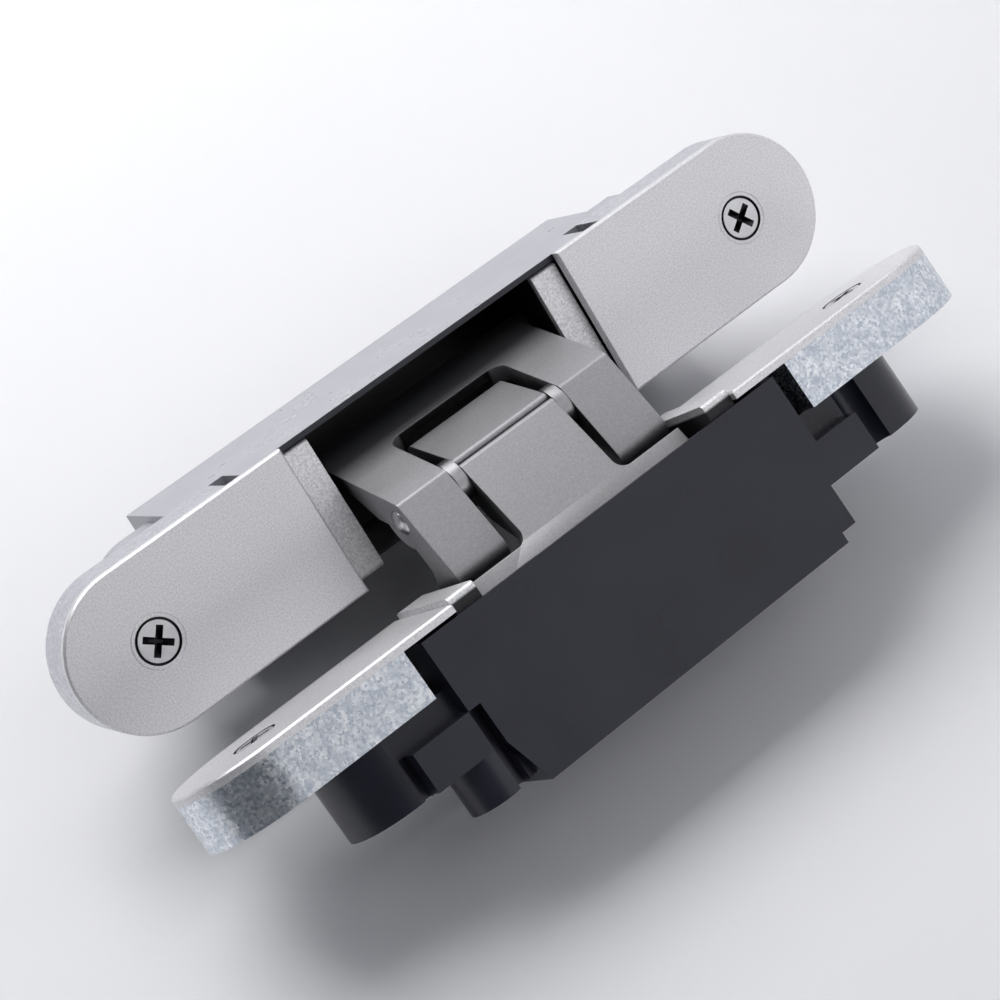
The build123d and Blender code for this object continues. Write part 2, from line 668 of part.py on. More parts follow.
def bored(arm, solid):
    """The arm with its three pin holes."""
    reach = ARM_HALF_WIDTH + 1
    for place, radius in (
        (CENTRE, CENTRE_PIN_RADIUS),
        (arm.guide(), GUIDE_PIN_RADIUS),
        (arm.eye(), PIVOT_PIN_RADIUS),
    ):
        solid -= rod(place[0], place[1], radius + PIN_FIT, -reach, reach)
    return solid


def fork_arm():
    """Fork: two prongs to the door pivot and a full-width home leg in the frame leaf."""
    blank = extrude(FORK.section(), ARM_HALF_WIDTH, both=True)
    blank -= FORK.clearing(-PRONG_INNER, PRONG_INNER, WINDOW_RADIUS)
    return bored(FORK, blank)


def tongue_arm():
    """Tongue: a narrow stem to the frame pivot and a full-width home leg in the door leaf."""
    blank = extrude(TONGUE.section(), ARM_HALF_WIDTH, both=True)
    reach = 2 * ARM_HALF_WIDTH
    blank -= TONGUE.clearing(TONGUE_HALF_WIDTH, reach, SHOULDER_RADIUS)
    blank -= TONGUE.clearing(-reach, -TONGUE_HALF_WIDTH, SHOULDER_RADIUS)
    return bored(TONGUE, blank)


def centre_pin():
    """Centre pin with a dome at each end."""
    x, y = CENTRE
    ball_radius = (CENTRE_PIN_RADIUS**2 + PIN_DOME**2) / (2 * PIN_DOME)
    pin = rod(x, y, CENTRE_PIN_RADIUS, -ARM_HALF_WIDTH, ARM_HALF_WIDTH)
    for side in (-1, 1):
        tip = side * (ARM_HALF_WIDTH + PIN_DOME)
        low, high = sorted((side * (ARM_HALF_WIDTH - PIN_DOME), tip))
        ball = Location((x, y, tip - side * ball_radius)) * Sphere(ball_radius)
        pin += rod(x, y, CENTRE_PIN_RADIUS, low, high) & ball
    return pin


def ring(place, outer, inner, z0, z1):
    """Washer, bush or roller round a pin."""
    return rod(place[0], place[1], outer, z0, z1) - rod(place[0], place[1], inner + PIN_FIT, z0 - 1, z1 + 1)


def ring_pair(place, outer, inner, z0, z1):
    """The same ring at both ends of a pin."""
    return [ring(place, outer, inner, z0, z1), ring(place, outer, inner, -z1, -z0)]


def centre_washers():
    """Washers between the tongue and the fork's prongs."""
    return ring_pair(
        CENTRE, WASHER_RADIUS, CENTRE_PIN_RADIUS, TONGUE_HALF_WIDTH + END_PLAY, PRONG_INNER - END_PLAY
    )


def pivot_pin():
    """Pivot pin, held in the carrier's cheeks."""
    half = CHEEK_OUTER - PIVOT_PIN_INSET
    return rod(PIVOT[0], PIVOT[1], PIVOT_PIN_RADIUS, -half, half)


def guide_pin(place):
    """Guide pin across an arm's tail, reaching into both guide slots."""
    half = CHEEK_INNER + ROLLER_LENGTH
    return rod(place[0], place[1], GUIDE_PIN_RADIUS, -half, half)


def guide_rollers(place):
    """Rollers on the guide pin's ends."""
    start = CHEEK_INNER + END_PLAY
    return ring_pair(place, ROLLER_RADIUS, GUIDE_PIN_RADIUS, start, start + ROLLER_LENGTH - 2 * END_PLAY)


def guide_spacers(place):
    """Spacers on the guide pin between the arm's tail and the cheeks."""
    return ring_pair(
        place, TAIL_RADIUS, GUIDE_PIN_RADIUS, ARM_HALF_WIDTH + END_PLAY, CHEEK_INNER - END_PLAY
    )


def frame_pivot_spacers():
    """Long spacers on the frame pivot pin, between the tongue and the cheeks."""
    return ring_pair(
        PIVOT, SPACER_RADIUS, PIVOT_PIN_RADIUS, TONGUE_HALF_WIDTH + END_PLAY, CHEEK_INNER - END_PLAY
    )


def door_pivot_washers():
    """Washers on the door pivot pin, between the fork's prongs and the cheeks."""
    return ring_pair(
        PIVOT, SPACER_RADIUS, PIVOT_PIN_RADIUS, ARM_HALF_WIDTH + END_PLAY, CHEEK_INNER - END_PLAY
    )


def door_pivot_spacer():
    """Spacer on the door pivot pin, between the fork's prongs."""
    half = PRONG_INNER - END_PLAY
    return ring(PIVOT, SPACER_RADIUS, PIVOT_PIN_RADIUS, -half, half)


def write(name, placed):
    """Write one node; a list of solids is one node of separate solids."""
    shape = Compound(children=[s for s in placed]) if isinstance(placed, list) else placed
    shape.label = name
    export_step(shape, f"parts/{name}.step")


def place_all(location, shapes):
    """Separate solids moved to their place."""
    return [solid for shape in shapes for solid in (location * shape).solids()]


def write_leaf(leaf, leaf_place, carrier_place):
    """Write the pieces that both leaves share."""
    ends = (("upper", 1), ("lower", -1)) if leaf == "frame" else (("upper", -1), ("lower", 1))
    for end, side in ends:
        write(f"{leaf}_{end}_cover", place_all(leaf_place, [cover(side)]))
        write(f"{leaf}_{end}_block", place_all(leaf_place, [end_block(side)]))
    write(f"{leaf}_cover_screws", place_all(leaf_place, [cover_screw(s) for s in (-1, 1)]))
    write(f"{leaf}_clamp_screws", place_all(leaf_place, [clamp_screw(s) for s in (-1, 1)]))
    write(f"{leaf}_jack_screws", place_all(leaf_place, [jack_screw(s) for s in (-1, 1)]))
    write(f"{leaf}_case", place_all(leaf_place, [case(leaf)]))
    write(f"{leaf}_carrier", place_all(carrier_place, [carrier()]))
    write(f"{leaf}_pivot_pin", place_all(carrier_place, [pivot_pin()]))


def write_arms():
    """Write the two arms and what rides on them."""
    place = FRAME_CARRIER
    write("fork_arm", place_all(place, [fork_arm()]))
    write("tongue_arm", place_all(place, [tongue_arm()]))
    write("centre_pin", place_all(place, [centre_pin()]))
    write("centre_washers", place_all(place, centre_washers()))
    for leaf, arm in (("frame", FORK), ("door", TONGUE)):
        write(f"{leaf}_guide_pin", place_all(place, [guide_pin(arm.guide())]))
        write(f"{leaf}_guide_rollers", place_all(place, guide_rollers(arm.guide())))
        write(f"{leaf}_guide_spacers", place_all(place, guide_spacers(arm.guide())))
    write("frame_pivot_spacers", place_all(FRAME_CARRIER, frame_pivot_spacers()))
    write("door_pivot_washers", place_all(DOOR_CARRIER, door_pivot_washers()))
    write("door_pivot_spacer", place_all(DOOR_CARRIER, [door_pivot_spacer()]))


os.makedirs("parts", exist_ok=True)
write_leaf("frame", FRAME_LEAF, FRAME_CARRIER)
write_leaf("door", DOOR_LEAF, DOOR_CARRIER)
write_arms()
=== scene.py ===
import json
import logging
import math
from dataclasses import dataclass, field
from enum import Enum

import bmesh
import bpy
from mathutils import Matrix, Vector


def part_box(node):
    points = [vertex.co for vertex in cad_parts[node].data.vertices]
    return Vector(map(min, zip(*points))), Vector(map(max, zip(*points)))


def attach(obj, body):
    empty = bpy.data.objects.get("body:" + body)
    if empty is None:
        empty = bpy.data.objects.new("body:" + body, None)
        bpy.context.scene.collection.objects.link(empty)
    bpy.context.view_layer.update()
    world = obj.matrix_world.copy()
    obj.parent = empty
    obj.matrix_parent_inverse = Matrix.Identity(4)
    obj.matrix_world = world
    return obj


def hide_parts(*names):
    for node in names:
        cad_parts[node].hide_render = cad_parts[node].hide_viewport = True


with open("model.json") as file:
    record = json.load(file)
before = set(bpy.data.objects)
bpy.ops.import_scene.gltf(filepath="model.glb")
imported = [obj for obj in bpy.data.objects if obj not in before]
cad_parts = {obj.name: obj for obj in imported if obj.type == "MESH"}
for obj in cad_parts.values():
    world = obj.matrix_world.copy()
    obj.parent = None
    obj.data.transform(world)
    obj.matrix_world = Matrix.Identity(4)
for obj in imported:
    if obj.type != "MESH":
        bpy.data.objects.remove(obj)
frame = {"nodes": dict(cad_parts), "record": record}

LOG = logging.getLogger("hinge")
MM = 0.001
UP = Vector((0, 0, 1))
COVER_HEAD_RADIUS = 4.3 * MM
SHARP_ANGLE = math.radians(13)
NOISE_LOW = 0.3
NOISE_HIGH = 0.7

Colour = tuple[float, float, float]
Socket = bpy.types.NodeSocket
Shape = bmesh.types.BMesh
Loop = list[bmesh.types.BMEdge]


class Leaf(Enum):
    """The two leaves of the hinge."""

    FRAME = "frame"
    DOOR = "door"


SCREW_TURNS = {
    Leaf.FRAME: (math.radians(-38), math.radians(-55)),
    Leaf.DOOR: (math.radians(-20), math.radians(25)),
}


class Shading:
    """A material under construction, with short calls for its nodes."""

    def __init__(self, name: str) -> None:
        """Start an empty material.

        Args:
            name: Name of the material.
        """
        self.material = bpy.data.materials.new(name)
        self.material.use_nodes = True
        self.tree = self.material.node_tree
        self.tree.nodes.clear()
        self.output = self.add("ShaderNodeOutputMaterial")
        self.shader = self.add("ShaderNodeBsdfPrincipled")
        self.join(self.shader.outputs["BSDF"], self.output.inputs["Surface"])
        self.place = self.add("ShaderNodeTexCoord").outputs["Object"]

    def add(self, kind: str, **values: object) -> bpy.types.Node:
        """Add one node.

        Args:
            kind: Blender's type of the node.
            values: Properties to set on it.

        Returns:
            The new node.
        """
        node = self.tree.nodes.new(kind)
        for key, value in values.items():
            setattr(node, key, value)
        return node

    def join(self, source: Socket, target: Socket) -> None:
        """Link one socket to another."""
        self.tree.links.new(source, target)

    def noise(self, scale: float, detail: float = 3.0, roughness: float = 0.5) -> Socket:
        """Add a noise over the object.

        Args:
            scale: Waves per metre.
            detail: Number of finer layers.
            roughness: Weight of the finer layers.

        Returns:
            The noise's value socket.
        """
        node = self.add("ShaderNodeTexNoise")
        node.inputs["Scale"].default_value = scale
        node.inputs["Detail"].default_value = detail
        node.inputs["Roughness"].default_value = roughness
        self.join(self.place, node.inputs["Vector"])
        return node.outputs["Fac"]

    def crystals(self, scale: float) -> Socket:
        """Add a field of cells, each with its own random value.

        Args:
            scale: Cells per metre.

        Returns:
            The cells' colour socket.
        """
        node = self.add("ShaderNodeTexVoronoi", feature="F1")
        node.inputs["Scale"].default_value = scale
        self.join(self.place, node.inputs["Vector"])
        return node.outputs["Color"]

    def spread(self, source: Socket, low: float, high: float) -> Socket:
        """Map a noise from its middle range to a new range.

        Args:
            source: The noise.
            low: Result at NOISE_LOW.
            high: Result at NOISE_HIGH.

        Returns:
            The mapped value's socket.
        """
        node = self.add("ShaderNodeMapRange", clamp=True)
        node.inputs["From Min"].default_value = NOISE_LOW
        node.inputs["From Max"].default_value = NOISE_HIGH
        node.inputs["To Min"].default_value = low
        node.inputs["To Max"].default_value = high
        self.join(source, node.inputs["Value"])
        return node.outputs["Result"]

    def tint(self, source: Socket, dark: Colour, light: Colour) -> Socket:
        """Blend two colours by a value.

        Args:
            source: Value from 0 to 1.
            dark: Colour at 0.
            light: Colour at 1.

        Returns:
            The colour socket.
        """
        node = self.add("ShaderNodeMix", data_type="RGBA")
        node.inputs[6].default_value = (*dark, 1.0)
        node.inputs[7].default_value = (*light, 1.0)
        self.join(source, node.inputs[0])
        return node.outputs[2]

    def bump(
        self,
        source: Socket,
        height: float,
        strength: float = 1.0,
        edge_radius: float = 0.0,
    ) -> None:
        """Raise the surface by a value, and soften its edges.

        Args:
            source: Value from 0 to 1.
            height: Height at 1, in metres.
            strength: Share of the effect.
            edge_radius: Radius of the softened edges, in metres.
        """
        node = self.add("ShaderNodeBump")
        node.inputs["Distance"].default_value = height
        node.inputs["Strength"].default_value = strength
        self.join(source, node.inputs["Height"])
        if edge_radius > 0.0:
            edge = self.add("ShaderNodeBevel", samples=4)
            edge.inputs["Radius"].default_value = edge_radius
            self.join(edge.outputs["Normal"], node.inputs["Normal"])
        self.join(node.outputs["Normal"], self.shader.inputs["Normal"])

    def coat(self, colour: Socket, rough: Socket) -> None:
        """Set the colour and the roughness."""
        self.join(colour, self.shader.inputs["Base Color"])
        self.join(rough, self.shader.inputs["Roughness"])

    def pair(self, operation: str, first: Socket, second: Socket) -> Socket:
        """Work out one sum of two values.

        Args:
            operation: Blender's name of the sum.
            first: The first value.
            second: The second value.

        Returns:
            The result's socket.
        """
        node = self.add("ShaderNodeMath", operation=operation)
        self.join(first, node.inputs[0])
        self.join(second, node.inputs[1])
        return node.outputs[0]

    def math(self, operation: str, source: Socket, value: float) -> Socket:
        """Work out one sum of a value and a number.

        Args:
            operation: Blender's name of the sum.
            source: The value.
            value: The number.

        Returns:
            The result's socket.
        """
        node = self.add("ShaderNodeMath", operation=operation)
        self.join(source, node.inputs[0])
        node.inputs[1].default_value = value
        return node.outputs[0]

    def reach(self, axis: Vector, level: float) -> Socket:
        """Measure how far a point lies past a level along an axis.

        Args:
            axis: Unit vector in the object's frame.
            level: Level along it, in metres.

        Returns:
            The distance's socket, in metres.
        """
        node = self.add("ShaderNodeVectorMath", operation="DOT_PRODUCT")
        self.join(self.place, node.inputs[0])
        node.inputs[1].default_value = axis
        return self.math("SUBTRACT", node.outputs["Value"], level)

    def step(self, source: Socket, start: float, end: float) -> Socket:
        """Turn a distance into a mask.

        Args:
            source: The distance.
            start: Distance at which the mask is 0.
            end: Distance at which it is 1.

        Returns:
            The mask's socket.
        """
        node = self.add("ShaderNodeMapRange", clamp=True)
        node.inputs["From Min"].default_value = start
        node.inputs["From Max"].default_value = end
        self.join(source, node.inputs["Value"])
        return node.outputs["Result"]

    def overlay(self, mask: Socket, colour: Colour) -> None:
        """Lay a colour over the finish's own where a mask is 1.

        Args:
            mask: The mask.
            colour: Colour where it is 1.
        """
        base = self.shader.inputs["Base Color"]
        node = self.add("ShaderNodeMix", data_type="RGBA")
        self.join(mask, node.inputs[0])
        self.join(base.links[0].from_socket, node.inputs[6])
        node.inputs[7].default_value = (*colour, 1.0)
        self.join(node.outputs[2], base)

    def layer(self, mask: Socket, under: Socket, over: Socket) -> Socket:
        """Lay one shader over another where a mask is 1.

        Args:
            mask: The mask.
            under: Shader where it is 0.
            over: Shader where it is 1.

        Returns:
            The shader's socket.
        """
        node = self.add("ShaderNodeMixShader")
        self.join(mask, node.inputs["Fac"])
        self.join(under, node.inputs[1])
        self.join(over, node.inputs[2])
        return node.outputs[0]

    def fade(self, mask: Socket, plain: float, covered: float) -> Socket:
        """Turn a mask into a value between two numbers.

        Args:
            mask: The mask.
            plain: Number where it is 0.
            covered: Number where it is 1.

        Returns:
            The value's socket.
        """
        return self.math("ADD", self.math("MULTIPLY", mask, covered - plain), plain)


class Finish(Enum):
    """Order of the finishes on a cover screw."""

    HEAD = 0
    # Painted shade in the ring round the head and in the cross recess.
    DARK = 1
    COLLAR = 2


@dataclass(frozen=True)
class LeafFace:
    """Where one leaf's face lies: its direction, level, side axis and screws."""

    leaf: Leaf
    outward: Vector
    side: Vector
    level: float
    middle: float
    screw_station: float

    @classmethod
    def of(cls, leaf: Leaf) -> "LeafFace":
        """Read a leaf's face from the frame.

        Args:
            leaf: The leaf.

        Returns:
            The face.
        """
        mounts = {mount["name"]: mount for mount in frame["record"]["mounts"]}
        outward = Vector(mounts[f"{leaf.value}_recess"]["axis"]).normalized()
        side = outward.cross(UP)
        cover = frame["nodes"][f"{leaf.value}_upper_cover"].data.vertices
        reach = [vertex.co.dot(side) for vertex in cover]
        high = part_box(f"{leaf.value}_cover_screws")[1]
        return cls(
            leaf=leaf,
            outward=outward,
            side=side,
            level=max(vertex.co.dot(outward) for vertex in cover),
            middle=(min(reach) + max(reach)) / 2,
            screw_station=high.z - COVER_HEAD_RADIUS,
        )


@dataclass(frozen=True)
class SatinCoat:
    """Fine-grained satin grey finish of covers, arms and carriers."""

    name: str
    dark: Colour
    light: Colour
    metallic: float = 0.6
    rough_low: float = 0.40
    rough_high: float = 0.50
    grain_scale: float = 3200.0
    grain_detail: float = 2.0
    grain_weight: float = 0.6
    grain_height: float = 0.000016
    grain_strength: float = 0.6
    cloud_scale: float = 60.0
    edge_radius: float = 0.00022
    # Black inside the carriers; on the arms this is the colour of their painted shade.
    inside_black_and_shade_colour: Colour = (0.004, 0.004, 0.006)
    skin: float = 1.0 * MM
    skin_blur: float = 0.4 * MM
    # Painted shade of the arms: darker the deeper they lie under a leaf's face.
    painted_shade_start: float = 1.0 * MM
    painted_shade_end: float = 12.0 * MM
    painted_shade_share: float = 0.88
    # Painted shade in the arms' corners, from an occlusion measure.
    corner_shade_reach: float = 0.007
    corner_shade_samples: int = 6
    corner_shade_open: float = 0.92
    corner_shade_closed: float = 0.35

    def start(self) -> Shading:
        """Make the plain finish.

        Returns:
            The finish, still open for changes.
        """
        s = Shading(self.name)
        grain = s.noise(self.grain_scale, self.grain_detail, self.grain_weight)
        cloud = s.noise(self.cloud_scale)
        s.shader.inputs["Metallic"].default_value = self.metallic
        colour = s.tint(s.spread(grain, 0.0, 1.0), self.dark, self.light)
        s.coat(colour, s.spread(cloud, self.rough_low, self.rough_high))
        s.bump(grain, self.grain_height, self.grain_strength, self.edge_radius)
        return s

    def build(self) -> bpy.types.Material:
        """Return the material."""
        return self.start().material

    def darken(self, s: Shading, mask: Socket) -> bpy.types.Material:
        """Blacken the finish where a mask is 1.

        Args:
            s: The open finish.
            mask: The mask.

        Returns:
            The material.
        """
        s.overlay(mask, self.inside_black_and_shade_colour)
        s.join(s.fade(mask, self.metallic, 0.0), s.shader.inputs["Metallic"])
        return s.material

    def build_carrier(self, face: LeafFace, level: float) -> bpy.types.Material:
        """Make the finish of a carrier, bare at its face and black inside.

        Args:
            face: The leaf's face.
            level: Level of the carrier's face.

        Returns:
            The material.
        """
        s = self.start()
        depth = s.reach(-face.outward, self.skin - level)
        return self.darken(s, s.step(depth, 0.0, self.skin_blur))

    def build_arm(self, faces: dict[Leaf, LeafFace]) -> bpy.types.Material:
        """Make the finish of an arm, with painted shade inside the leaves and in its corners.

        Args:
            faces: Both leaves' faces.

        Returns:
            The material.
        """
        s = self.start()
        # Painted shade: the arm darkens the deeper it lies under either leaf's face.
        deep = [
            s.step(s.reach(-face.outward, -face.level), self.painted_shade_start, self.painted_shade_end)
            for face in faces.values()
        ]
        inside = s.math("MULTIPLY", s.pair("MAXIMUM", *deep), self.painted_shade_share)
        # Painted shade in corners and creases, where nearby surfaces close in.
        corner = s.add("ShaderNodeAmbientOcclusion", samples=self.corner_shade_samples)
        corner.inputs["Distance"].default_value = self.corner_shade_reach
        corner_shade_mask = s.step(corner.outputs["AO"], self.corner_shade_open, self.corner_shade_closed)
        return self.darken(s, s.pair("MAXIMUM", inside, corner_shade_mask))


@dataclass(frozen=True)
class PlatedZinc:
    """Plating of the end blocks: crystalline and slightly blue, or smooth."""

    name: str
    dark: Colour = (0.50, 0.55, 0.62)
    light: Colour = (0.90, 0.92, 0.95)
    cell_scale: float = 2100.0
    cell_height: float = 0.00003
    cell_strength: float = 0.8
    cell_detail: float = 3.0
    cell_weight: float = 0.7
    cloud_scale: float = 420.0
    cloud_detail: float = 4.0
    cloud_weight: float = 0.65
    cloud_low: float = 0.35
    cloud_high: float = 1.35
    rough_low: float = 0.26
    rough_high: float = 0.40

    def build(self) -> bpy.types.Material:
        """Make the finish.

        Returns:
            The material.
        """
        s = Shading(self.name)
        split = s.add("ShaderNodeSeparateColor")
        s.join(s.crystals(self.cell_scale), split.inputs["Color"])
        cloud = s.noise(self.cloud_scale, self.cloud_detail, self.cloud_weight)
        patches = s.spread(cloud, self.cloud_low, self.cloud_high)
        mixed = s.pair("MULTIPLY", split.outputs["Red"], patches)
        s.shader.inputs["Metallic"].default_value = 1.0
        rough = s.spread(split.outputs["Green"], self.rough_low, self.rough_high)
        s.coat(s.tint(mixed, self.dark, self.light), rough)
        grain = s.noise(self.cell_scale, self.cell_detail, self.cell_weight)
        s.bump(grain, self.cell_height, self.cell_strength)
        return s.material


@dataclass(frozen=True)
class BlackCoat:
    """Semi-matte black coating of the cast cases, with a pale painted sheen on the frame leaf's outer long
    side.
    """

    name: str
    dark: Colour = (0.009, 0.010, 0.018)
    light: Colour = (0.014, 0.015, 0.027)
    # Painted sheen: a pale colour standing in for the glancing reflection on the frame case's outer side.
    painted_sheen_colour: Colour = (0.36, 0.36, 0.40)
    rough_low: float = 0.26
    rough_high: float = 0.34
    cloud_scale: float = 90.0
    cloud_detail: float = 4.0
    cloud_height: float = 0.00001
    cloud_strength: float = 0.3
    top_depth: float = 1.0 * MM
    seam_start: float = 0.06 * MM
    seam_end: float = 0.02 * MM
    # How far the painted sheen wraps over the case's ends.
    sheen_wrap_start: float = 5.0 * MM
    sheen_wrap_end: float = 2.5 * MM

    def start(self) -> Shading:
        """Make the plain finish.

        Returns:
            The finish, still open for changes.
        """
        s = Shading(self.name)
        cloud = s.noise(self.cloud_scale, self.cloud_detail)
        colour = s.tint(s.spread(cloud, 0.0, 1.0), self.dark, self.light)
        s.coat(colour, s.spread(cloud, self.rough_low, self.rough_high))
        s.bump(cloud, self.cloud_height, self.cloud_strength)
        return s

    def build(self) -> bpy.types.Material:
        """Return the material."""
        return self.start().material

    def build_with_painted_sheen(self, face: LeafFace) -> bpy.types.Material:
        """Make the finish of the frame leaf's case, with a pale painted sheen on its outer long side.

        The painted sheen also wraps a little way over the case's two ends.

        Args:
            face: The leaf's face.

        Returns:
            The material.
        """
        s = self.start()
        case = frame["nodes"][f"{face.leaf.value}_case"].data.vertices
        edge = max(vertex.co.dot(-face.side) for vertex in case)
        top = max(vertex.co.dot(face.outward) for vertex in case) - self.top_depth
        case_end = max(vertex.co.z for vertex in case if vertex.co.dot(face.outward) > top)
        past = s.reach(-face.side, edge)
        side = s.step(past, -self.seam_start, -self.seam_end)
        sheen_wrap = s.step(past, -self.sheen_wrap_start, -self.sheen_wrap_end)
        split = s.add("ShaderNodeSeparateXYZ")
        s.join(s.place, split.inputs[0])
        height = s.math("ABSOLUTE", split.outputs["Z"], 0.0)
        end = s.step(height, case_end - self.seam_start, case_end - self.seam_end)
        # Paint the pale sheen over the outer side and the wrapped ends.
        s.overlay(s.pair("MAXIMUM", side, s.pair("MULTIPLY", sheen_wrap, end)), self.painted_sheen_colour)
        return s.material


@dataclass(frozen=True)
class TurnedSteel:
    """Steel of pins, washers and screws, from bright to dark."""

    name: str
    dark: Colour
    light: Colour
    rough_low: float
    rough_high: float
    cloud_scale: float = 500.0
    cloud_detail: float = 4.0
    cloud_weight: float = 0.6
    grain_scale: float = 2600.0
    grain_detail: float = 2.0
    grain_height: float = 0.000006
    grain_strength: float = 0.6
    edge_radius: float = 0.00015

    def build(self) -> bpy.types.Material:
        """Make the finish.

        Returns:
            The material.
        """
        s = Shading(self.name)
        cloud = s.noise(self.cloud_scale, self.cloud_detail, self.cloud_weight)
        s.shader.inputs["Metallic"].default_value = 1.0
        colour = s.tint(s.spread(cloud, 0.0, 1.0), self.dark, self.light)
        s.coat(colour, s.spread(cloud, self.rough_low, self.rough_high))
        grain = s.noise(self.grain_scale, self.grain_detail)
        s.bump(grain, self.grain_height, self.grain_strength, self.edge_radius)
        return s.material


@dataclass(frozen=True)
class BearingPlastic:
    """Dull dark plastic of spacers and rollers."""

    name: str = "bearing_plastic"
    dark: Colour = (0.015, 0.015, 0.017)
    light: Colour = (0.028, 0.028, 0.03)
    rough_low: float = 0.5
    rough_high: float = 0.62
    cloud_scale: float = 800.0
    cloud_height: float = 0.00001
    cloud_strength: float = 0.5

    def build(self) -> bpy.types.Material:
        """Make the finish.

        Returns:
            The material.
        """
        s = Shading(self.name)
        cloud = s.noise(self.cloud_scale)
        colour = s.tint(s.spread(cloud, 0.0, 1.0), self.dark, self.light)
        s.coat(colour, s.spread(cloud, self.rough_low, self.rough_high))
        s.bump(cloud, self.cloud_height, self.cloud_strength)
        return s.material


class Finishes:
    """All finishes, made once and handed to the pieces."""

    def __init__(self, faces: dict[Leaf, LeafFace]) -> None:
        """Build every material.

        Args:
            faces: Both leaves' faces.
        """
        strip = SatinCoat("carrier_satin", (0.58, 0.575, 0.59), (0.92, 0.915, 0.93), grain_scale=2400.0)
        self.cover = SatinCoat("cover_satin", (0.62, 0.616, 0.635), (0.86, 0.855, 0.875)).build()
        self.carrier = {leaf: self.carrier_of(strip, face) for leaf, face in faces.items()}
        self.arm = SatinCoat("arm_satin", (0.33, 0.327, 0.34), (0.42, 0.416, 0.43)).build_arm(faces)
        smooth = PlatedZinc("smooth_plated_zinc", (0.50, 0.50, 0.54), (0.60, 0.60, 0.64), cell_height=0.00001)
        self.zinc = {Leaf.FRAME: smooth.build(), Leaf.DOOR: PlatedZinc("plated_zinc").build()}
        self.case = {
            Leaf.FRAME: BlackCoat("black_coat").build_with_painted_sheen(faces[Leaf.FRAME]),
            Leaf.DOOR: BlackCoat("door_black_coat").build(),
        }
        self.bright = TurnedSteel("bright_steel", (0.62, 0.62, 0.63), (0.76, 0.76, 0.77), 0.16, 0.26).build()
        self.washer = TurnedSteel("washer_steel", (0.34, 0.34, 0.35), (0.44, 0.44, 0.45), 0.28, 0.36).build()
        self.screw = TurnedSteel("screw_steel", (0.62, 0.62, 0.63), (0.72, 0.72, 0.73), 0.40, 0.48).build()
        # Painted shade: near-black steel for the ring round the head and the cross recess.
        self.recess = TurnedSteel("screw_recess_painted_shade", (0.02, 0.02, 0.024), (0.05, 0.05, 0.055), 0.4, 0.5).build()
        self.dark = TurnedSteel("dark_screw", (0.05, 0.05, 0.055), (0.08, 0.08, 0.085), 0.34, 0.46).build()
        self.plastic = BearingPlastic().build()

    def carrier_of(self, strip: SatinCoat, face: LeafFace) -> bpy.types.Material:
        """Make one leaf's carrier finish.

        Args:
            strip: The bare finish of its face.
            face: The leaf's face.

        Returns:
            The material.
        """
        carrier = frame["nodes"][f"{face.leaf.value}_carrier"].data.vertices
        level = max(vertex.co.dot(face.outward) for vertex in carrier)
        return strip.build_carrier(face, level)


def new_piece(
    name: str,
    shape: Shape,
    materials: list[bpy.types.Material],
    body: str,
) -> bpy.types.Object:
    """Turn a finished shape into a piece that rides on a body.

    Args:
        name: Name of the piece.
        shape: Its shape, which is used up.
        materials: Its finishes, in the order of the faces' numbers.
        body: Name of the CAD body.

    Returns:
        The object.
    """
    bmesh.ops.triangulate(shape, faces=shape.faces)
    mesh = bpy.data.meshes.new(name)
    shape.to_mesh(mesh)
    shape.free()
    for material in materials:
        mesh.materials.append(material)
    mesh.polygons.foreach_set("use_smooth", [True] * len(mesh.polygons))
    mesh.set_sharp_from_angle(angle=SHARP_ANGLE)
    obj = bpy.data.objects.new(name, mesh)
    bpy.context.scene.collection.objects.link(obj)
    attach(obj, body)
    LOG.info("built %s of %d triangles on %s", name, len(mesh.polygons), body)
    return obj


